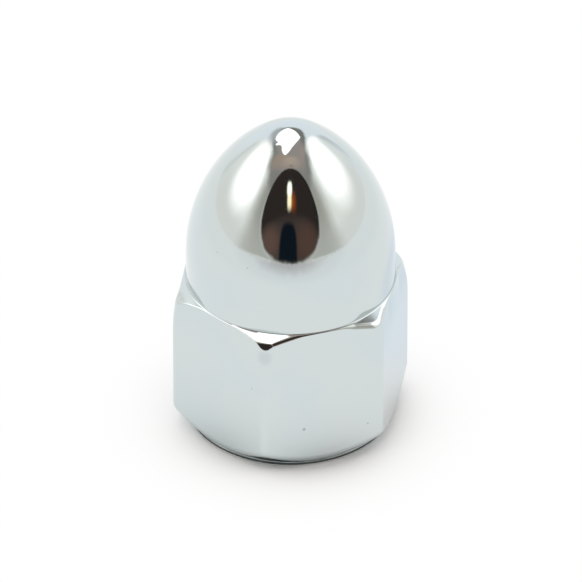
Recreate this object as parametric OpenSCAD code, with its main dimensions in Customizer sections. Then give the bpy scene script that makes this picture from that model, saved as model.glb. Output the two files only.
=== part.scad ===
// Bullet cap nut for an M10 x 1.25 stud: a 14 mm hexagon with a tall pointed dome over a blind
// threaded hole. It is one piece of steel, turned, polished and chrome plated.
// Millimetres, +Z up. The origin is the centre of the flat face that the nut is screwed down on.

/* [Hexagon] */
// Width across the flats
across_flats = 14; // [13.9:0.1:16]
// Height of the foot of the dome above the seat
shoulder_h = 10.5; // [8.5:0.1:11]
// Radius of the six upright corners
corner_r = 0.4; // [0.2:0.05:1]
// Slope of the chamfer over the top corners, from level
top_chamfer_deg = 28; // [15:1:35]
// Diameter at which that chamfer bends down to a steeper facet on each corner
corner_facet_d = 15.1; // [14.8:0.1:15.4]
// Slope of the facets, from level
corner_facet_deg = 50; // [40:1:60]
// Slope of the chamfer under the bottom corners, from level
bottom_chamfer_deg = 45; // [30:1:50]
// Diameter of the flat face that seats
seat_d = 13.5; // [13:0.1:13.8]

/* [Dome] */
// Height of the whole nut, from the seat to the tip of the nose
total_h = 22; // [21:0.1:24]
// Diameter of the dome at its foot
dome_d = 13.6; // [13.2:0.1:13.6]
// Radius of the dome's bulging side, seen from the side
side_r = 11.3; // [10.3:0.5:12.8]
// Radius of the round nose
nose_r = 3.8; // [3.3:0.1:4.5]
// Radius of the hollow corner between the dome and the hexagon
foot_fillet_r = 0.1; // [0.05:0.05:0.15]

/* [Threaded hole] */
// Outside diameter of the stud's thread
thread_d = 10; // [8:0.5:10]
// Pitch of the thread
thread_pitch = 1.25; // [0.75:0.25:1.5]
// Depth of the hole at its full diameter
hole_depth = 15; // [11:0.5:15.5]
// Diameter of the countersink where the hole opens in the seat
countersink_d = 10.8; // [10.2:0.1:11.4]
// Full angle of the countersink
countersink_deg = 120; // [90:10:120]
// Full angle of the drill's point at the blind end
drill_point_deg = 118; // [118:1:140]

/* [Hidden] */
$fn = 96;

// The hexagon
corners = 6;
corner_step = 360 / corners;
// Distance from the axis to the centre line of a rounded corner, and to the corner's outermost point
corner_centre = (across_flats / 2 - corner_r) / cos(corner_step / 2);
corner_reach = corner_centre + corner_r;
// How far a cutting shape reaches past what it cuts
clear = 1;
// The chamfers are cut with a turned outline that reaches clear of the corners
turned_r = corner_reach + clear;
seat_r = seat_d / 2;

// The dome, two arcs that meet without a corner: the side's centre is past the axis
dome_r = dome_d / 2;
facet_r = corner_facet_d / 2;
facet_z = shoulder_h - (facet_r - dome_r) * tan(top_chamfer_deg);
nose_z = total_h - nose_r;
side_x = dome_r - side_r;
side_z = nose_z - sqrt(pow(side_r - nose_r, 2) - pow(side_x, 2));
// Height at which the side's arc runs into the nose's arc
join_z = nose_z + nose_r * (nose_z - side_z) / (side_r - nose_r);

// The hollow corner at the foot of the dome: height of its centre
fillet_z = shoulder_h + foot_fillet_r * tan(45 - top_chamfer_deg / 2);

// The hole: how many pitches an inside thread's smallest diameter is under its largest
thread_share = 1.0825;
hole_r = (thread_d - thread_share * thread_pitch) / 2;
countersink_h = (countersink_d / 2 - hole_r) / tan(countersink_deg / 2);
drill_point_h = hole_r / tan(drill_point_deg / 2);

// Corner number i of the hexagon: the centre of its rounding, and a point on it, turned by a share
// of the corner's half angle from the outermost point
function rounding_centre(i) = corner_centre * [cos(i * corner_step), sin(i * corner_step)];
function rounding_point(i, share) =
    let(angle = i * corner_step + share * corner_step / 2)
    rounding_centre(i) + corner_r * [cos(angle), sin(angle)];
// The same point pushed out to twice the radius, clear of the arc
function sector_side(i, share) = 2 * rounding_point(i, share) - rounding_centre(i);

// Plan of the hexagon: a plate notched to the centres of its rounded corners, and a round sector that
// fills each notch, so that every flat runs into its corner without a step
module hexagon_plan() {
    polygon([for (i = [0 : corners - 1])
        each [rounding_point(i, -1), rounding_centre(i), rounding_point(i, 1)]]);
    for (i = [0 : corners - 1])
        intersection() {
            translate(rounding_centre(i)) circle(corner_r);
            polygon([rounding_centre(i), sector_side(i, -1), sector_side(i, 1)]);
        }
}

// Half section of what is turned on the hexagon: the two chamfers and the corners' facets
module chamfered_outline() {
    reach = turned_r - seat_r;
    polygon([
        [0, 0],
        [seat_r, 0],
        [turned_r, reach * tan(bottom_chamfer_deg)],
        [turned_r, facet_z - (turned_r - facet_r) * tan(corner_facet_deg)],
        [facet_r, facet_z],
        [dome_r, shoulder_h],
        [0, shoulder_h]
    ]);
}

// Half section of the hollow corner at the dome's foot
module foot_fillet_outline() {
    centre = [dome_r + foot_fillet_r, fillet_z];
    difference() {
        polygon([
            [dome_r, shoulder_h],
            centre - foot_fillet_r * [sin(top_chamfer_deg), cos(top_chamfer_deg)],
            centre,
            [dome_r, fillet_z]
        ]);
        translate(centre) circle(foot_fillet_r);
    }
}

// Half section of the dome: a short straight foot, the bulging side, then the nose
module dome_outline() {
    translate([0, shoulder_h]) square([dome_r, side_z - shoulder_h]);
    intersection() {
        translate([side_x, side_z]) circle(side_r);
        translate([0, side_z]) square([dome_r, join_z - side_z]);
    }
    intersection() {
        translate([0, nose_z]) circle(nose_r);
        translate([0, join_z]) square([nose_r, nose_r]);
    }
}

module body() {
    intersection() {
        linear_extrude(total_h) hexagon_plan();
        rotate_extrude() {
            chamfered_outline();
            foot_fillet_outline();
            dome_outline();
        }
    }
}

// Blind hole at the thread's smallest diameter, with its countersink and the drill's point
module threaded_hole() {
    translate([0, 0, -clear]) cylinder(h = hole_depth + clear, r = hole_r);
    translate([0, 0, hole_depth]) cylinder(h = drill_point_h, r1 = hole_r, r2 = 0);
    cylinder(h = countersink_h, r1 = countersink_d / 2, r2 = hole_r);
}

module cap_nut() {
    color([0.83, 0.85, 0.86]) difference() {
        body();
        threaded_hole();
    }
}

cap_nut();
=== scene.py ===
# A chrome plated bullet cap nut on a white floor, with a soft white light tent round it.
# Lengths in the dictionaries are millimetres; the meshes are in metres.

import math

import bpy
import numpy as np
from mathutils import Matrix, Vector


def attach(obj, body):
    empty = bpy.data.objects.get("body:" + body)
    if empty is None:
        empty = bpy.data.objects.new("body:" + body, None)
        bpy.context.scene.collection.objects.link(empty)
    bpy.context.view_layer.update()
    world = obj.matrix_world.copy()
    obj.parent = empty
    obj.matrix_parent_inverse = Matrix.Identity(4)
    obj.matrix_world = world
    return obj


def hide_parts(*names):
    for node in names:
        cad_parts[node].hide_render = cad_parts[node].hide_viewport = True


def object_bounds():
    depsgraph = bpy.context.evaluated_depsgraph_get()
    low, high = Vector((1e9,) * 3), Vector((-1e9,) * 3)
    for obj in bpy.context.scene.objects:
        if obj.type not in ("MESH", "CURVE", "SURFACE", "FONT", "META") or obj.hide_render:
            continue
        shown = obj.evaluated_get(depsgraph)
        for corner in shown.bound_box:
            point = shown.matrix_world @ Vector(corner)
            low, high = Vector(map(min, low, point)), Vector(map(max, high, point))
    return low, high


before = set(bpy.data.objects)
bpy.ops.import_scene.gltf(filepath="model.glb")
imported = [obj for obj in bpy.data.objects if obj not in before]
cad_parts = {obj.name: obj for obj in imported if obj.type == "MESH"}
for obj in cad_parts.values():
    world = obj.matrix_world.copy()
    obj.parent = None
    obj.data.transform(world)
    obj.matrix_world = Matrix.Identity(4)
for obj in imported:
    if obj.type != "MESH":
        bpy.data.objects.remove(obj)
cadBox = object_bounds()
print("frame loaded:", sorted(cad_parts))

mm = 0.001
quarter = math.pi / 2      # of a turn
sixth = math.pi / 3
tiny = 1e-4                # step for slopes by differences, and the least divisor
# width across the flats, two of which face along Y, and height of the whole nut
width, height = (round((cadBox[1][k] - cadBox[0][k]) / mm, 2) for k in (1, 2))

# where the lens stands, which is also the side that the tent opens to
camera = {
    "azimuth": -17.6,          # degrees round the nut, 0 looks along +Y
    "elevation": 36.1,         # degrees above the floor
    "distance": 700.0,
    "lens": 666.5,
    "sensor": 36.0,
    "clip": (10.0, 10000.0),
    "aimUp": 9.01,             # the point looked at, above the floor
    "aimRight": 0.03,          # and to the right of the axis
}


def placeCamera():
    # on a sphere round the point looked at: back is the unit vector of the two angles
    turn, rise = math.radians(camera["azimuth"]), math.radians(camera["elevation"])
    back = np.array([math.sin(turn) * math.cos(rise), -math.cos(turn) * math.cos(rise), math.sin(rise)])
    right = np.array([math.cos(turn), math.sin(turn), 0])
    aim = right * camera["aimRight"] + np.array([0, 0, camera["aimUp"]])
    lens = bpy.data.cameras.new("lens")
    lens.lens = camera["lens"]
    lens.sensor_width = camera["sensor"]
    lens.clip_start, lens.clip_end = (value * mm for value in camera["clip"])
    holder = bpy.data.objects.new("lens", lens)
    bpy.context.scene.collection.objects.link(holder)
    holder.location = Vector((aim + back * camera["distance"]) * mm)
    holder.rotation_mode = "QUATERNION"
    holder.rotation_quaternion = Vector(-back).to_track_quat("-Z", "Y")
    bpy.context.scene.camera = holder
    print("camera placed")


# the outside: hexagon, cones and dome. Pairs are degrees round the axis from +X towards +Y, and the
# value there
nut = {
    "acrossFlats": width,
    "cornerRound": 0.6,        # radius of the six upright corners
    # what polishing adds to it at the top of each corner, counted from +X towards +Y
    "cornerWear": (1.5, 0.9, 1.3, 0.2, 0.2, 0.5),
    "wearDown": 1.5,           # how far down from the shoulder
    "lean": (0.12, 0.21),      # how far the walls are polished inwards at the shoulder, least and most
    "leanGrowth": 0.5,         # by how much it grows with the distance from the axis
    "leanDown": 1.5,
    "shoulderUp": 10.5,        # where the dome leaves the hexagon
    # degrees of the turned top below level
    "topSlopes": ((0, 31.0), (30, 22.0), (60, 26.0), (90, 22.0), (120, 26.0), (150, 23.0), (180, 26.0),
                  (210, 22.0), (240, 24.5), (255, 25.0), (270, 22.0), (300, 19.0), (330, 22.0)),
    "facetFrom": 7.53,         # distance from the axis where the cone bends down at each corner
    "facetSlope": 52.0,
    # length over which it bends
    "facetBends": ((0, 0.03), (140, 0.03), (160, 0.2), (180, 0.2), (200, 0.03)),
    # radius of the polished edge between cone and flats or corners
    "topEdges": ((0, 0.5), (30, 0.32), (60, 0.4), (90, 0.32), (120, 0.4), (150, 0.32), (165, 0.8),
                 (180, 0.5), (190, 0.13), (205, 0.14), (213, 0.11), (222, 0.08), (237, 0.12),
                 (240, 0.22), (244, 0.4), (255, 0.38), (270, 0.3), (300, 0.6), (330, 0.32)),
    "edgeRounds": 6,           # tries at finding where it ends
    "leastCone": 0.006,        # width of cone left at the middle of the flats
    "seatRadius": 6.8,
    "lowSlope": 45.0,          # degrees above level, the cone under the corners
    "lowEdge": 0.85,           # radius of the edge between it and the flats
    "seatUp": 0.16,            # height of the narrow lip round the seat
    "seatIn": 0.05,            # width of the ledge on it
    "seatSlope": 25.0,         # degrees of the ledge below level
    "seatHollow": 0.006,       # radius in the corner above it
    "seatEdge": 0.02,          # radius of the lip's own edges
    "seatRing": 0.3,           # width of the last ring of the seat
    "domeRadius": 6.8,
    "sideArc": 11.3,           # radius of the dome's side
    "noseArc": 3.8,            # radius of its nose
    "tipUp": height,
    # radius of the hollow where the dome meets the cone
    "footFillets": ((0, 0.15), (30, 0.04), (60, 0.15), (90, 0.04), (120, 0.15), (150, 0.04),
                    (170, 0.25), (190, 0.2), (210, 0.04), (240, 0.06), (270, 0.04), (285, 0.06),
                    (300, 0.1), (315, 0.1), (330, 0.04)),
    "cornerColumns": 8,        # mesh columns on half a corner
    "flatColumns": 18,         # and on half a flat
    # mesh rows on each stretch of the section
    "rows": {"nose": 27, "side": 50, "foot": 5, "hollow": 8, "cone": 24, "topEdge": 12, "flat": 36,
             "lowEdge": 12, "lowCone": 3, "seatHollow": 4, "ledge": 1, "lipEdge": 3, "lip": 1,
             "seatEdge": 4, "seat": 1},
    "flatCrowding": 1.3,       # the flat's rows crowd towards its top by this power
}


def around(angle, pairs):
    # a value given at turns round the axis, with straight runs between them
    turns, values = zip(*pairs)
    return np.interp(np.degrees(angle), turns, values, period=360)


def wallRadius(angle, up):
    # the hexagon seen from its axis: on a flat, half the width over the cosine of the angle from
    # the flat's middle; on a corner, the far side of the rounding circle. Near the shoulder the
    # corners are rounder and the walls lean in, by bell curves of the distance below it
    below = nut["shoulderUp"] - up
    corner = np.rint(angle / sixth).astype(int) % 6
    wear = np.array(nut["cornerWear"])[corner] * np.exp(-(below / nut["wearDown"]) ** 2)
    half, rounding = nut["acrossFlats"] / 2, nut["cornerRound"] + wear
    middle = (half - rounding) / math.cos(sixth / 2)
    tangent = np.arctan2(rounding * math.sin(sixth / 2), middle + rounding * math.cos(sixth / 2))
    offCorner = np.abs((angle + sixth / 2) % sixth - sixth / 2)
    onArc = np.minimum(offCorner, tangent)
    arc = middle * np.cos(onArc) + np.sqrt(rounding ** 2 - (middle * np.sin(onArc)) ** 2)
    radius = np.where(offCorner < tangent, arc, half / np.cos(sixth / 2 - offCorner))
    least, most = nut["lean"]
    lean = np.minimum(least + (radius - half) * nut["leanGrowth"], most)
    return radius - lean * np.exp(-(below / nut["leanDown"]) ** 2)


def wallHeading(angle, up):
    # how the wall runs downwards, as an angle below level: a right angle less its lean
    leaning = (wallRadius(angle, up - tiny) - wallRadius(angle, up + tiny)) / (2 * tiny)
    return quarter - np.arctan(leaning)


def columnAngles():
    # equal turns of the wall on each rounded corner, then steps that widen as one minus a cosine
    # towards the middle of the flat
    half, rounding = nut["acrossFlats"] / 2, nut["cornerRound"]
    middle = (half - rounding) / math.cos(sixth / 2)
    turn = np.linspace(0, sixth / 2, nut["cornerColumns"] + 1)
    onCorner = np.arctan2(rounding * np.sin(turn), middle + rounding * np.cos(turn))
    widening = 1 - np.cos(np.linspace(0, quarter, nut["flatColumns"] + 1)[1:])
    onFlat = onCorner[-1] + (sixth / 2 - onCorner[-1]) * widening
    halfSide = np.concatenate([onCorner, onFlat])
    side = np.concatenate([-halfSide[:0:-1], halfSide[:-1]])
    return np.concatenate([side + sixth * k for k in range(6)])


def coneUp(out, angle):
    # height of the turned top at a distance from the axis, and its slope: a cone that bends to a
    # steeper facet, with the bend as a rounded step in the slope
    first = np.tan(np.radians(around(angle, nut["topSlopes"])))
    second = math.tan(math.radians(nut["facetSlope"]))
    length = around(angle, nut["facetBends"])
    beyond = (out - nut["facetFrom"]) / length
    further = length * np.logaddexp(0, beyond)
    slope = first + (second - first) / (1 + np.exp(-beyond))
    return nut["shoulderUp"] - first * (out - nut["domeRadius"]) - (second - first) * further, slope


# A stretch of the section is a pair: places, as radius and height for every row and column, and
# the headings there, which are unit vectors down the section. Angles of headings are below level

def straight(start, end, count):
    # evenly spaced rows from one place to the other, without the last
    share = np.arange(count)[:, None, None] / count
    way = end - start
    way = way / np.linalg.norm(way, axis=-1, keepdims=True)
    return start + (end - start) * share, np.broadcast_to(way, (count, *way.shape))


def bend(start, radius, first, last, count):
    # rows round an arc that starts at a place, without the last, and the place where it ends: the
    # heading turns from first to last, and the place moves on by the radius times the change of its
    # sine and cosine. The radius is negative where the arc turns outwards
    angle = first + (last - first) * np.arange(count + 1)[:, None] / count
    out = start[..., 0] + radius * (np.sin(angle) - np.sin(first))
    up = start[..., 1] + radius * (np.cos(angle) - np.cos(first))
    places = np.stack([out, up], -1)
    headings = np.stack(np.broadcast_arrays(np.cos(angle), -np.sin(angle)), -1)
    headings = np.broadcast_to(headings, places.shape)
    return (places[:-1], headings[:-1]), places[-1]


def tilted(out, up, angle):
    # rows from their radius, height and angle of heading
    return np.stack([out, up], -1), np.stack([np.cos(angle), -np.sin(angle)], -1)


def domeRows(zeros):
    # for each of the columns, which are given as noughts, two arcs that run into each other: their
    # centres are the difference of the radii apart, which gives the height of the side's centre and
    # the angle at which the arcs meet
    dome, side, nose = nut["domeRadius"], nut["sideArc"], nut["noseArc"]
    noseUp = nut["tipUp"] - nose
    sideUp = noseUp - math.sqrt((side - nose) ** 2 - (dome - side) ** 2)
    join = quarter - math.asin((noseUp - sideUp) / (side - nose))
    tip = np.stack([zeros, zeros + nut["tipUp"]], -1)
    (places, headings), noseEnd = bend(tip, nose, zeros, join + zeros, nut["rows"]["nose"])
    sideRows, foot = bend(noseEnd, side, join + zeros, quarter + zeros, nut["rows"]["side"])
    return [(places[1:], headings[1:]), sideRows], foot


def footRows(angle, foot):
    # the upright foot of the dome, and the hollow that turns from it to the slope of the cone. The
    # cone starts where the hollow's radius, less its sine of that slope, reaches out to
    dome, slope = nut["domeRadius"], np.radians(around(angle, nut["topSlopes"]))
    hollow = around(angle, nut["footFillets"])
    coneFrom = dome + hollow * (1 - np.sin(slope))
    top = np.stack([0 * angle + dome, coneUp(coneFrom, angle)[0] + hollow * np.cos(slope)], -1)
    hollowRows, _ = bend(top, -hollow, quarter + 0 * angle, slope, nut["rows"]["hollow"])
    return [straight(foot, top, nut["rows"]["foot"]), hollowRows], coneFrom


def coneRows(angle, coneFrom):
    # the cone, and the polished edge that turns from its slope to the wall's. The edge ends on the
    # leaning wall, at a height found by going round a few times
    flatTop = 0 * angle + nut["shoulderUp"]
    rounding = around(angle, nut["topEdges"])
    for _ in range(nut["edgeRounds"]):
        wall, last = wallRadius(angle, flatTop), wallHeading(angle, flatTop)
        tilt = np.arctan(coneUp(wall - rounding / 2, angle)[1])
        coneTo = wall - rounding * (np.sin(last) - np.sin(tilt))
        coneTo = np.maximum(coneTo, coneFrom + nut["leastCone"])
        up, slope = coneUp(coneTo, angle)
        tilt = np.arctan(slope)
        edge = (wall - coneTo) / (np.sin(last) - np.sin(tilt))
        flatTop = up - edge * (np.cos(tilt) - np.cos(last))
    rows = nut["rows"]
    out = coneFrom + (coneTo - coneFrom) * np.linspace(0, 1, rows["cone"] + 1)[:-1, None]
    up, slope = coneUp(out, angle)
    edgeFrom = np.stack([coneTo, coneUp(coneTo, angle)[0]], -1)
    edgeRows, _ = bend(edgeFrom, edge, tilt, last, rows["topEdge"])
    return [tilted(out, up, np.arctan(slope)), edgeRows], flatTop


def wallRows(angle, flatTop, ledgeFrom):
    # the flats and corners, and the edge that turns under them. It ends on the lower cone, which is
    # the line at its slope through the corner at the ledge, given as radius and height
    rows, low, lowSlope = nut["rows"], nut["lowEdge"], math.radians(nut["lowSlope"])
    lowTurn = quarter - lowSlope
    wall = wallRadius(angle, 0 * angle)
    coneEndUp = ledgeFrom[1] + (wall - low * (1 - math.cos(lowTurn)) - ledgeFrom[0]) * math.tan(lowSlope)
    flatEnd = coneEndUp + low * math.sin(lowTurn)
    share = np.linspace(0, 1, rows["flat"] + 1)[:-1, None] ** nut["flatCrowding"]
    up = flatTop + (flatEnd - flatTop) * share
    down = quarter + 0 * angle
    lowRows, coneStart = bend(np.stack([wall, flatEnd], -1), low, down, lowTurn + down, rows["lowEdge"])
    return [tilted(wallRadius(angle, up), up, wallHeading(angle, up)), lowRows], coneStart


def seatRows(zeros, coneStart, ledgeFrom):
    # the lower cone turns outwards into the ledge of the lip, and that down into the seat. The small
    # arc between cone and ledge starts its radius times the tangent of half its turn away from the
    # corner where they would meet
    rows, rim, hollow = nut["rows"], nut["seatEdge"], nut["seatHollow"]
    lowSlope, ledge = math.radians(nut["lowSlope"]), math.radians(nut["seatSlope"])
    inwards = 2 * quarter - lowSlope
    turn = hollow * math.tan((inwards - ledge) / 2)
    hollowFrom = np.stack([zeros + ledgeFrom[0] + turn * math.cos(lowSlope),
                           zeros + ledgeFrom[1] + turn * math.sin(lowSlope)], -1)
    hollowRows, ledgeStart = bend(hollowFrom, -hollow, inwards + zeros, ledge + zeros, rows["seatHollow"])
    rimIn = rim * (1 - math.sin(ledge))
    ledgeEnd = np.stack([nut["seatRadius"] - rimIn + zeros,
                         nut["seatUp"] + rimIn * math.tan(ledge) + zeros], -1)
    lipEdgeRows, lip = bend(ledgeEnd, rim, ledge + zeros, quarter + zeros, rows["lipEdge"])
    lipEnd = np.stack([nut["seatRadius"] + zeros, rim + zeros], -1)
    rimRows, seat = bend(lipEnd, rim, quarter + zeros, 2 * quarter + zeros, rows["seatEdge"])
    ring = seat - np.array([nut["seatRing"], 0])
    return [straight(coneStart, hollowFrom, rows["lowCone"]), hollowRows,
            straight(ledgeStart, ledgeEnd, rows["ledge"]), lipEdgeRows,
            straight(lip, lipEnd, rows["lip"]), rimRows, straight(seat, ring, rows["seat"]),
            (ring[None], np.broadcast_to(np.array([-1.0, 0]), ring[None].shape))]


def outsideRows(angle):
    # for every column the whole section from the tip of the dome down to the seat, one stretch after
    # the other: nose, side, foot, hollow, cone, edge, flat, edge, lower cone, lip and seat
    zeros = np.zeros_like(angle)
    ledgeUp = nut["seatUp"] + nut["seatIn"] * math.tan(math.radians(nut["seatSlope"]))
    ledgeFrom = (nut["seatRadius"] - nut["seatIn"], ledgeUp)
    dome, foot = domeRows(zeros)
    hollow, coneFrom = footRows(angle, foot)
    cone, flatTop = coneRows(angle, coneFrom)
    wall, coneStart = wallRows(angle, flatTop, ledgeFrom)
    stretches = dome + hollow + cone + wall + seatRows(zeros, coneStart, ledgeFrom)
    return tuple(np.concatenate(parts) for parts in zip(*stretches))


# the blind threaded hole
bore = {
    "threadRadius": 5.0,       # M10
    "pitch": 1.25,
    "threadAngle": 60.0,
    "grooveShare": 3 / 4,      # of the pitch that is groove, at its mouth
    "depthShare": 5 / 8,       # of the height of a sharp thread
    "depth": 15.0,
    "threadEnd": 14.2,
    "runout": 1.5,             # length over which the thread dies away
    "sinkRadius": 5.4,
    "sinkAngle": 120.0,
    "drillAngle": 118.0,
    "rowsPerTurn": 26,
    "columnShare": 3,          # one column in the hole for this many outside
}


def boreRadius(angle, up):
    # a thread cut into the tapping hole: the groove's depth falls from its flat root to its flat
    # crest with the distance along the pitch over the tangent of the flanks' slant, and it dies away
    # over the runout as a smooth step. A sharp thread is as high as its pitch times the slant's
    # cosine. At the mouth the countersink's cone is wider
    pitch, slant = bore["pitch"], math.radians(bore["threadAngle"] / 2)
    full = bore["depthShare"] * pitch * math.cos(slant)
    phase = (up / pitch - angle / (2 * math.pi)) % 1
    flank = (bore["grooveShare"] / 2 * pitch - np.abs(phase - 0.5) * pitch) / math.tan(slant)
    fade = np.clip((bore["threadEnd"] - up) / bore["runout"], 0, 1)
    thread = bore["threadRadius"] - full + np.clip(flank, 0, full) * fade * fade * (3 - 2 * fade)
    sink = bore["sinkRadius"] - up * math.tan(math.radians(bore["sinkAngle"] / 2))
    return np.maximum(thread, sink)


def boreRows(angle):
    # places up the hole as x, y, z for each row and column, and the normal from the slopes of the
    # radius round and along the hole
    rows = round(bore["depth"] / bore["pitch"] * bore["rowsPerTurn"])
    up = np.linspace(0, bore["depth"], rows + 1)[:, None]
    radius = boreRadius(angle, up)
    alongSlope = (boreRadius(angle, up + tiny) - boreRadius(angle, up - tiny)) / (2 * tiny)
    roundSlope = (boreRadius(angle + tiny, up) - boreRadius(angle - tiny, up)) / (2 * tiny) / radius
    outward = np.stack([np.cos(angle), np.sin(angle), 0 * angle], -1)
    sideways = np.stack([-np.sin(angle), np.cos(angle), 0 * angle], -1)
    upward = np.array([0, 0, 1.0])
    places = radius[..., None] * outward + up[..., None] * upward
    normals = roundSlope[..., None] * sideways + alongSlope[..., None] * upward - outward
    return places, normals / np.linalg.norm(normals, axis=-1, keepdims=True)


def standUp(section, angle):
    # radius and height turned to x, y, z at each column's angle
    return np.stack([section[..., 0] * np.cos(angle), section[..., 0] * np.sin(angle), section[..., 1]], -1)


def stripFaces(first, rows, columns):
    # quads between neighbouring rows and columns, closing round the axis
    row, column = np.meshgrid(np.arange(rows - 1), np.arange(columns), indexing="ij")
    here, there = first + row * columns + column, first + row * columns + (column + 1) % columns
    return np.stack([here, here + columns, there + columns, there], -1).reshape(-1, 4)


def outsideSurface(angle):
    # places and normals: the normal is square to the heading down the section and to the way from
    # one column to the next
    section, heading = outsideRows(angle)
    before, after = (standUp(outsideRows(angle + step)[0], angle + step) for step in (-tiny, tiny))
    normals = np.cross(standUp(heading, angle), after - before)
    return standUp(section, angle), normals / np.linalg.norm(normals, axis=-1, keepdims=True)


def buildNut():
    # one closed skin: tip, outside, flat ring of the seat, hole and drill point
    angle = columnAngles()
    columns, share = len(angle), bore["columnShare"]
    places, normals = outsideSurface(angle)
    holePlaces, holeNormals = boreRows(angle[::share])
    drillUp = bore["depth"] + holePlaces[-1, 0, 0] / math.tan(math.radians(bore["drillAngle"] / 2))
    tip, drillTip = [[0, 0, nut["tipUp"]]], [[0, 0, drillUp]]
    vertices = np.concatenate([tip, places.reshape(-1, 3), holePlaces.reshape(-1, 3), drillTip]) * mm
    vertexNormals = np.concatenate([[[0, 0, 1.0]], normals.reshape(-1, 3),
                                    holeNormals.reshape(-1, 3), [[0, 0, -1.0]]])

    outsideFirst, holeFirst, lastVertex = 1, 1 + places.size // 3, len(vertices) - 1
    ring = np.arange(columns)
    tipFaces = np.stack([ring * 0, outsideFirst + ring, outsideFirst + (ring + 1) % columns], -1)
    outsideFaces = stripFaces(outsideFirst, len(places), columns)
    seatFirst = outsideFirst + (len(places) - 1) * columns
    part = np.arange(columns // share)
    across = [seatFirst + (part * share + k) % columns for k in range(share + 1)]
    seatFaces = np.stack([*across[::-1], holeFirst + part, holeFirst + (part + 1) % len(part)], -1)
    holeFaces = stripFaces(holeFirst, len(holePlaces), len(part))
    lastRing = holeFirst + (len(holePlaces) - 1) * len(part)
    drillFaces = np.stack([lastRing + part, part * 0 + lastVertex, lastRing + (part + 1) % len(part)], -1)

    mesh = bpy.data.meshes.new("capNutMesh")
    faceSets = [tipFaces, outsideFaces, seatFaces, holeFaces, drillFaces]
    mesh.from_pydata(vertices.tolist(), [], [face for faces in faceSets for face in faces.tolist()])
    mesh.polygons.foreach_set("use_smooth", np.ones(len(mesh.polygons), bool))
    corner = np.empty(len(mesh.loops), np.int32)
    mesh.loops.foreach_get("vertex_index", corner)
    cornerNormals = vertexNormals[corner]
    seatCorners = tipFaces.size + outsideFaces.size + np.arange(seatFaces.size)
    cornerNormals[seatCorners] = (0, 0, -1)
    mesh.normals_split_custom_set(cornerNormals.tolist())
    # one in the hole and nought outside, for the material
    inHole = mesh.attributes.new("inHole", "FLOAT", "POINT")
    inside = np.zeros(len(vertices), np.float32)
    inside[holeFirst:] = 1
    inHole.data.foreach_set("value", inside)
    piece = bpy.data.objects.new("capNut", mesh)
    bpy.context.scene.collection.objects.link(piece)
    triangles = sum(len(face.vertices) - 2 for face in mesh.polygons)
    print("cap nut:", len(vertices), "vertices,", triangles, "triangles")
    return piece


def socketOrValue(tree, socket, given):
    if isinstance(given, bpy.types.NodeSocket):
        tree.links.new(given, socket)
    else:
        socket.default_value = given


def maths(tree, operation, *given):
    node = tree.nodes.new("ShaderNodeMath")
    node.operation = operation
    for socket, value in zip(node.inputs, given):
        socketOrValue(tree, socket, value)
    return node.outputs[0]


def vectorMaths(tree, operation, place, fixed):
    # the distance to a fixed place, or the part of a direction along a fixed one
    node = tree.nodes.new("ShaderNodeVectorMath")
    node.operation = operation
    tree.links.new(place, node.inputs[0])
    node.inputs[1].default_value = fixed
    return node.outputs["Value"]


def ramp(tree, value, low, high):
    # 0 below low, 1 above high and smooth between them; the other way round when low is the larger
    node = tree.nodes.new("ShaderNodeMapRange")
    node.interpolation_type = "SMOOTHSTEP"
    for name, given in (("Value", value), ("From Min", low), ("From Max", high)):
        socketOrValue(tree, node.inputs[name], given)
    return node.outputs["Result"]


def blendColours(tree, share, first, second):
    # the first colour where the share is 0, the second where it is 1
    node = tree.nodes.new("ShaderNodeMix")
    node.data_type = "RGBA"
    sockets = [s for s in node.inputs if s.enabled]
    for socket, given in zip(sockets, (share, first, second)):
        if isinstance(given, tuple):
            given = (*given, 1.0)
        socketOrValue(tree, socket, given)
    return next(s for s in node.outputs if s.enabled)


def blendShaders(tree, share, first, second):
    node = tree.nodes.new("ShaderNodeMixShader")
    for socket, given in zip(node.inputs, (share, first, second)):
        tree.links.new(given, socket)
    return node.outputs[0]


def noise(tree, place, scale, detail):
    node = tree.nodes.new("ShaderNodeTexNoise")
    tree.links.new(place, node.inputs["Vector"])
    node.inputs["Scale"].default_value = scale
    node.inputs["Detail"].default_value = detail
    return node.outputs["Fac"]


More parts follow.
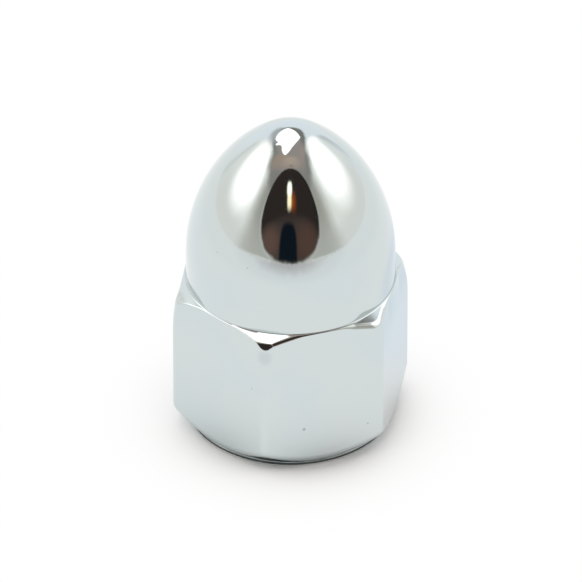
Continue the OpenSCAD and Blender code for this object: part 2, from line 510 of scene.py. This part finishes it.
# patterns are given as a scale per metre and levels of detail
finish = {
    "plate": ((0.633, 0.70, 0.712), (0.652, 0.702, 0.702)),  # two tones of the bright plating
    "blotches": (180.0, 3.0),  # where each tone is
    "blotchRange": (0.35, 0.65),
    "steel": ((0.36, 0.35, 0.33), (0.46, 0.45, 0.43)),  # bare, in the hole
    "grain": (2500.0, 3.0),
    # rings of painted shade at the dome's foot and the seat's edge: radius, height, width, what is left of
    # the light
    "creases": ((nut["domeRadius"], nut["shoulderUp"], 0.07, 0.8), (nut["seatRadius"], 0.05, 0.16, 0.25)),
    "waves": (900.0, 1.0),     # unevenness left by polishing
    "waveDepth": 0.0011,
    # small marks, and a patch of painted shade: place, radius, colour
    "marksAndShade": (
        ((-1.3, -7.0, 3.07), 0.1, (0.4, 0.45, 0.46)),
        ((3.04, -7.0, 2.59), 0.07, (0.5, 0.55, 0.56)),
        ((-4.56, -6.1, 6.46), 0.06, (0.6, 0.48, 0.48)),
        # painted shade, a darker patch below the front corner's tip
        ((-3.95, -6.84, 9.25), 0.45, (0.58, 0.635, 0.65)),
        ((-5.81, -2.66, 15.22), 0.06, (0.52, 0.56, 0.56)),
        ((-4.39, -4.7, 15.06), 0.06, (0.52, 0.57, 0.58)),
    ),
    "markAndShadeSoft": 0.6,           # softness of their edge, over their radius
    "smear": ((-4.25, -6.63, 7.8), 1.0, (0.69, 0.69, 0.69)),
    "smearSpots": (1500.0, 4.0),
    "smearRange": (0.5, 0.75),
    "scratches": (5000.0, 2.0),
    "scratchDepth": 0.0001,
    "rough": 0.025,            # roughness of the plating at its brightest
    "blotchRough": 0.02,       # and what is added by the second tone, by scratches and in the hole
    "scratchRough": 0.03,
    "holeRough": 0.28,
}


def rootOfSquares(tree, first, second):
    squares = [maths(tree, "POWER", value, 2.0) for value in (first, second)]
    return maths(tree, "POWER", maths(tree, "ADD", *squares), 0.5)


def chromeMaterial():
    # bright plating in two faint tones, with polishing waves, painted shade in the creases and below the
    # front corner's tip, small marks and bare steel in the hole. Each is laid over the last, by its share
    # at the place
    material = bpy.data.materials.new("chromePlate")
    material.use_nodes = True
    tree = material.node_tree
    shader = tree.nodes["Principled BSDF"]
    shader.inputs["Metallic"].default_value = 1.0
    place = tree.nodes.new("ShaderNodeTexCoord").outputs["Object"]
    apart = tree.nodes.new("ShaderNodeSeparateXYZ")
    tree.links.new(place, apart.inputs[0])
    inHole = tree.nodes.new("ShaderNodeAttribute")
    inHole.attribute_name = "inHole"
    inHole = inHole.outputs["Fac"]

    def nearness(centre, radius, soft):
        away = vectorMaths(tree, "DISTANCE", place, [value * mm for value in centre])
        return ramp(tree, away, (radius + soft) * mm, (radius - soft) * mm)

    blotch = ramp(tree, noise(tree, place, *finish["blotches"]), *finish["blotchRange"])
    colour = blendColours(tree, blotch, *finish["plate"])

    # the distance from a level ring is the root of the squares of the distances out and up from it
    out = rootOfSquares(tree, apart.outputs["X"], apart.outputs["Y"])
    # painted shade: each ring darkens the plating, most within half its width
    for ringOut, ringUp, width, shade in finish["creases"]:
        offOut = maths(tree, "SUBTRACT", out, ringOut * mm)
        offUp = maths(tree, "SUBTRACT", apart.outputs["Z"], ringUp * mm)
        paintedShade = ramp(tree, rootOfSquares(tree, offOut, offUp), width * mm, width * mm / 2)
        colour = blendColours(tree, paintedShade, colour, tuple(value * shade for value in finish["plate"][0]))

    centre, radius, tint = finish["smear"]
    spots = ramp(tree, noise(tree, place, *finish["smearSpots"]), *finish["smearRange"])
    smear = maths(tree, "MULTIPLY", nearness(centre, radius, radius), spots)
    colour = blendColours(tree, smear, colour, tint)
    # small marks, the fourth of them painted shade below the front corner's tip
    for centre, radius, tint in finish["marksAndShade"]:
        markAndShade = nearness(centre, radius, radius * finish["markAndShadeSoft"])
        colour = blendColours(tree, markAndShade, colour, tint)

    steel = blendColours(tree, noise(tree, place, *finish["grain"]), *finish["steel"])
    tree.links.new(blendColours(tree, inHole, colour, steel), shader.inputs["Base Color"])

    scratches = noise(tree, place, *finish["scratches"])
    rough = maths(tree, "MULTIPLY_ADD", scratches, finish["scratchRough"], finish["rough"])
    rough = maths(tree, "MULTIPLY_ADD", blotch, finish["blotchRough"], rough)
    rough = maths(tree, "MULTIPLY_ADD", inHole, finish["holeRough"], rough)
    tree.links.new(rough, shader.inputs["Roughness"])

    waves = maths(tree, "MULTIPLY", noise(tree, place, *finish["waves"]), finish["waveDepth"] * mm)
    relief = maths(tree, "MULTIPLY_ADD", scratches, finish["scratchDepth"] * mm, waves)
    bump = tree.nodes.new("ShaderNodeBump")
    bump.inputs["Distance"].default_value = 1.0
    tree.links.new(relief, bump.inputs["Height"])
    tree.links.new(bump.outputs["Normal"], shader.inputs["Normal"])
    print("plating ready")
    return material


# the tent is a box of white cloth. Places on a wall are in units of that wall's distance from the
# nut: across it (to the right, or towards the lens on the side walls and the ceiling), then up it
tent = {
    "cloth": (1.0, 1.03, 1.07),
    "turn": camera["azimuth"],
    "creases": (9.0, 4.0),     # pattern that makes the outlines uneven
    "rucks": (20.0, 3.0),      # pattern of the rucks in the cloth along the front of the floor
    "ruckHeight": 0.12,
    "horizon": 0.004,          # softness of the line where wall and floor meet
    # name, wall, middle, half size, exponent of its outline, softness, unevenness, colour
    "panels": (
        ("left cloth", "left", (0.3, 1.0), (1.35, 1.3), 4.0, 0.3, 0.1, (1.02, 1.0, 0.95)),
        ("right cloth", "right", (0.3, 1.0), (1.35, 1.3), 4.0, 0.3, 0.1, (1.02, 1.0, 0.95)),
        ("left hem", "left", (0.2, 0.05), (1.2, 0.2), 3.0, 0.6, 0.1, (0.92, 0.9, 0.86)),
        ("right hem", "right", (0.2, 0.05), (1.2, 0.2), 3.0, 0.6, 0.1, (0.92, 0.9, 0.86)),
        ("left seam", "left", (-0.88, 0.2), (0.1, 0.45), 2.0, 0.9, 0.1, (0.86, 0.86, 0.84)),
        ("right seam", "right", (-1.3, 0.45), (0.22, 0.4), 2.0, 0.8, 0.1, (0.76, 0.75, 0.75)),
        ("left shine", "left", (-0.42, 1.1), (0.42, 0.4), 2.0, 0.8, 0.1, (1.58, 1.5, 1.46)),
        ("right shine", "right", (-0.75, 1.35), (0.55, 0.52), 2.0, 0.6, 0.1, (1.68, 1.6, 1.56)),
        ("front cloth", "front", (0.0, 1.5), (1.6, 1.9), 3.0, 0.3, 0.1, (0.63, 0.6, 0.54)),
        ("front shade", "front", (0.0, 1.35), (1.25, 1.25), 3.0, 0.22, 0.1, (0.45, 0.43, 0.38)),
        ("front foot", "front", (0.0, 0.0), (1.5, 0.5), 2.0, 0.9, 0.1, (0.57, 0.55, 0.5)),
        ("left lamp", "left", (-0.02, 0.8), (0.5, 0.48), 2.2, 0.4, 0.1, (1.98, 1.87, 1.83)),
        ("right lamp", "right", (-0.18, 0.92), (0.56, 0.58), 2.2, 0.4, 0.1, (1.98, 1.87, 1.83)),
        ("ceiling seam", "ceiling", (-0.06, -0.35), (0.52, 1.15), 2.8, 0.12, 0.15, (0.25, 0.24, 0.22)),
        ("ceiling wing", "ceiling", (-0.03, 0.5), (0.7, 0.62), 3.0, 0.15, 0.15, (0.31, 0.29, 0.27)),
        ("ceiling", "ceiling", (-0.02, 0.05), (0.4, 0.55), 3.0, 0.2, 0.15, (0.4, 0.34, 0.31)),
        ("ceiling rust", "ceiling", (-0.35, 0.3), (0.3, 0.12), 2.0, 0.8, 0.2, (0.46, 0.35, 0.28)),
        ("ceiling front", "ceiling", (0.02, 0.38), (0.24, 0.08), 2.0, 0.8, 0.2, (0.55, 0.43, 0.34)),
        ("ceiling knot", "front", (0.05, 2.2), (0.12, 0.06), 2.0, 0.8, 0.0, (0.3, 0.26, 0.22)),
        ("ceiling fold", "ceiling", (0.4, 0.12), (0.09, 0.3), 2.0, 0.8, 0.2, (0.45, 0.35, 0.31)),
        ("ceiling back", "ceiling", (-0.45, -1.0), (0.25, 0.6), 2.0, 0.7, 0.2, (0.55, 0.55, 0.57)),
        ("roof lamp", "ceiling", (-0.09, -0.56), (0.38, 0.72), 1.1, 0.03, 0.1, (1.95, 1.9, 1.87)),
        ("roof lamp back", "ceiling", (-0.1, -0.66), (0.35, 0.68), 1.3, 0.04, 0.1, (1.95, 1.9, 1.87)),
        ("roof gap", "ceiling", (-0.17, 0.0), (0.1, 0.22), 2.0, 0.06, 0.2, (1.95, 1.9, 1.87)),
        ("roof flap", "ceiling", (-0.36, -0.27), (0.1, 0.055), 2.0, 0.1, 0.2, (1.95, 1.9, 1.87)),
        ("hem", "front", (0.0, 0.01), (1.7, 0.025), 4.0, 0.4, 1.4, (0.82, 0.8, 0.77)),
        ("opening rim", "front", (-0.02, 0.94), (0.915, 0.99), 2.2, 0.03, 0.05, (0.66, 0.63, 0.58)),
        ("opening", "front", (-0.01, 1.02), (0.89, 1.0), 2.35, 0.04, 0.05, (0.012, 0.011, 0.011)),
    ),
    # seen through the opening
    "beyond": (
        ("room", "front", (-0.02, 0.99), (0.83, 0.93), 2.3, 0.08, 0.1, (0.035, 0.026, 0.023)),
        ("low dark", "front", (0.0, 0.2), (0.75, 0.42), 2.0, 0.25, 0.0, (0.065, 0.047, 0.042)),
        ("left glow", "front", (-0.48, 0.25), (0.25, 0.21), 2.0, 0.7, 0.0, (0.15, 0.087, 0.067)),
        ("right glow", "front", (0.36, 0.27), (0.25, 0.25), 2.0, 0.7, 0.0, (0.11, 0.062, 0.047)),
        ("stand", "front", (-0.05, 0.17), (0.18, 0.36), 3.0, 0.15, 0.0, (0.006, 0.011, 0.016)),
        ("ember", "front", (0.09, 0.92), (0.07, 0.18), 2.0, 0.8, 0.0, (0.3, 0.06, 0.01)),
        ("flame", "front", (0.03, 0.9), (0.05, 0.14), 2.0, 0.7, 0.0, (0.45, 0.14, 0.02)),
        ("warm lamp", "front", (-0.035, 0.98), (0.06, 0.23), 3.0, 0.4, 0.0, (1.6, 1.35, 0.9)),
        ("warm lamp top", "front", (-0.035, 1.22), (0.085, 0.19), 3.0, 0.35, 0.0, (1.9, 1.8, 1.5)),
    ),
    # the floor cloth beyond the modelled floor
    "ground": (0.97, 0.98, 0.97),
    "grounds": (
        ("front floor", "front", (0.0, 0.0), (1.7, 0.2), 2.0, 0.9, 0.1, (0.9, 0.89, 0.89)),
        ("floor edge", "front", (0.0, 0.0), (0.55, 0.1), 2.0, 0.9, 0.6, (0.62, 0.58, 0.58)),
    ),
}


def tentWorld():
    # a ray's parts along and up a wall, over its part towards the wall, are its place on that wall.
    # The panels are painted there one over the other, and the camera itself sees plain white
    world = bpy.data.worlds.new("lightTent")
    bpy.context.scene.world = world
    world.use_nodes = True
    tree = world.node_tree
    ray = tree.nodes.new("ShaderNodeTexCoord").outputs["Generated"]
    turn = math.radians(tent["turn"])
    right = vectorMaths(tree, "DOT_PRODUCT", ray, (math.cos(turn), math.sin(turn), 0))
    near = vectorMaths(tree, "DOT_PRODUCT", ray, (math.sin(turn), -math.cos(turn), 0))
    up = vectorMaths(tree, "DOT_PRODUCT", ray, (0, 0, 1))
    left = maths(tree, "MULTIPLY", right, -1.0)
    walls = {"front": (near, right, up), "left": (left, near, up),
             "right": (right, near, up), "ceiling": (up, right, near)}
    onWall = {}
    for name, (out, across, upward) in walls.items():
        out = maths(tree, "MAXIMUM", out, tiny)
        onWall[name] = [maths(tree, "DIVIDE", across, out), maths(tree, "DIVIDE", upward, out)]
    creases = maths(tree, "SUBTRACT", noise(tree, ray, *tent["creases"]), 0.5)

    def mask(wall, middle, half, exponent, soft, uneven):
        # a panel's outline is where the two offsets over their half sizes, each to the same power,
        # add up to one, moved in and out a little by the creases
        powers = []
        for offset, centre, size in zip(onWall[wall], middle, half):
            scaled = maths(tree, "MULTIPLY_ADD", offset, 1 / size, -centre / size)
            powers.append(maths(tree, "POWER", maths(tree, "ABSOLUTE", scaled), exponent))
        edge = maths(tree, "POWER", maths(tree, "ADD", *powers), 1 / exponent)
        if uneven:
            edge = maths(tree, "MULTIPLY_ADD", creases, uneven, edge)
        return ramp(tree, edge, 1 + soft, 1 - soft)

    def painted(colour, panels, within=None):
        for _, *outline, paint in panels:
            share = mask(*outline)
            if within is not None:
                share = maths(tree, "MULTIPLY", share, within)
            colour = blendColours(tree, share, colour, paint)
        return colour

    colour = painted(tent["cloth"], tent["panels"])
    opening = next(mask(*outline) for name, *outline, _ in tent["panels"] if name == "opening")
    colour = painted(colour, tent["beyond"], opening)
    ground = painted(tent["ground"], tent["grounds"])
    # the floor cloth is below the horizon, whose line the rucks move up and down towards the lens
    rucks = maths(tree, "SUBTRACT", noise(tree, ray, *tent["rucks"]), 0.5)
    rucks = maths(tree, "MULTIPLY", rucks, maths(tree, "MAXIMUM", near, 0.0))
    level = maths(tree, "MULTIPLY_ADD", rucks, tent["ruckHeight"], up)
    colour = blendColours(tree, ramp(tree, level, tent["horizon"], -tent["horizon"]), colour, ground)
    seen = tree.nodes.new("ShaderNodeLightPath").outputs["Is Camera Ray"]
    colour = blendColours(tree, seen, colour, (1.0, 1.0, 1.0))
    tree.links.new(colour, tree.nodes["Background"].inputs["Color"])
    print("tent hung")


floor = {
    "radius": 400.0,
    "gap": 6.6,                # open under the seat, so that the hole is lit in views from underneath
    "down": 0.01,              # just below the seat
    "columns": 96,
    "colour": (0.945, 0.97, 0.985),
    "fadeFrom": 45.0,          # distance from the axis where it starts to turn clear
    "fadeTo": 90.0,
    "liftFrom": 6.75,          # distance where plain white starts to wash out the shade
    "liftOver": 1.6,           # and the distance over which it grows
    "mirrorOver": 2.35,        # and over which it grows in reflections
    "shadeAside": (0.06, -0.5),  # the place from which that distance counts
    # painted shade, seen only in reflections: a cooler stretch of the floor behind the nut to the right
    "coolAt": (15.0, 8.6),
    "coolRadius": 16.0,        # it has its full strength within half of this
    "cool": (0.86, 0.91, 0.97),
}


def floorMaterial():
    # matt white that takes the nut's shade, washed out with plain white for the camera and the
    # chrome. The white's share is 1 - e to the power of minus the distance beyond the start over
    # that of growth
    material = bpy.data.materials.new("whiteFloor")
    material.use_nodes = True
    tree = material.node_tree
    tree.nodes.remove(tree.nodes["Principled BSDF"])
    matt = tree.nodes.new("ShaderNodeBsdfDiffuse")
    matt.inputs["Color"].default_value = (*floor["colour"], 1)
    white = tree.nodes.new("ShaderNodeEmission")
    clear = tree.nodes.new("ShaderNodeBsdfTransparent")
    place = tree.nodes.new("ShaderNodeTexCoord").outputs["Object"]
    seen = tree.nodes.new("ShaderNodeLightPath")
    mirrored = seen.outputs["Is Glossy Ray"]

    def distance(aside):
        return vectorMaths(tree, "DISTANCE", place, [value * mm for value in (*aside, 0)])

    start, over = floor["liftFrom"], floor["liftOver"]
    growth = maths(tree, "MULTIPLY_ADD", distance(floor["shadeAside"]), -1 / (over * mm), start / over)
    slower = maths(tree, "MULTIPLY_ADD", mirrored, over / floor["mirrorOver"] - 1, 1.0)
    growth = maths(tree, "MINIMUM", maths(tree, "MULTIPLY", growth, slower), 0.0)
    washing = maths(tree, "SUBTRACT", 1.0, maths(tree, "EXPONENT", growth))
    shown = maths(tree, "MAXIMUM", seen.outputs["Is Camera Ray"], mirrored)
    lift = maths(tree, "MULTIPLY", shown, washing)

    # painted shade: the white turns cooler near that place, for glossy rays only
    cool = ramp(tree, distance(floor["coolAt"]), floor["coolRadius"] * mm, 0.0)
    cool = maths(tree, "MINIMUM", maths(tree, "MULTIPLY", cool, 2.0), 1.0)
    cool = maths(tree, "MULTIPLY", cool, mirrored)
    tree.links.new(blendColours(tree, cool, (1.0, 1.0, 1.0), floor["cool"]), white.inputs["Color"])

    # clear far out and from underneath
    far = ramp(tree, distance((0, 0)), floor["fadeFrom"] * mm, floor["fadeTo"] * mm)
    far = maths(tree, "MAXIMUM", far, tree.nodes.new("ShaderNodeNewGeometry").outputs["Backfacing"])
    surface = blendShaders(tree, lift, matt.outputs[0], white.outputs[0])
    surface = blendShaders(tree, far, surface, clear.outputs[0])
    tree.links.new(surface, tree.nodes["Material Output"].inputs["Surface"])
    return material


def buildFloor():
    # a flat ring: a circle at the gap's radius joined to one at the outer radius
    count = floor["columns"]
    angle = np.linspace(0, 2 * math.pi, count, endpoint=False)
    ring = np.stack([np.cos(angle), np.sin(angle), 0 * angle], -1)
    points = np.concatenate([ring * floor["gap"], ring * floor["radius"]])
    points[:, 2] = -floor["down"]
    first = np.arange(count)
    after = (first + 1) % count
    faces = np.stack([first, first + count, after + count, after], -1)
    mesh = bpy.data.meshes.new("floorMesh")
    mesh.from_pydata((points * mm).tolist(), [], faces.tolist())
    mesh.materials.append(floorMaterial())
    piece = bpy.data.objects.new("floor", mesh)
    bpy.context.scene.collection.objects.link(piece)
    print("floor laid")


capNut = buildNut()
capNut.data.materials.append(chromeMaterial())
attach(capNut, "root")
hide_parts("cap_nut")
buildFloor()
tentWorld()
placeCamera()

bpy.context.scene.view_settings.view_transform = "Standard"
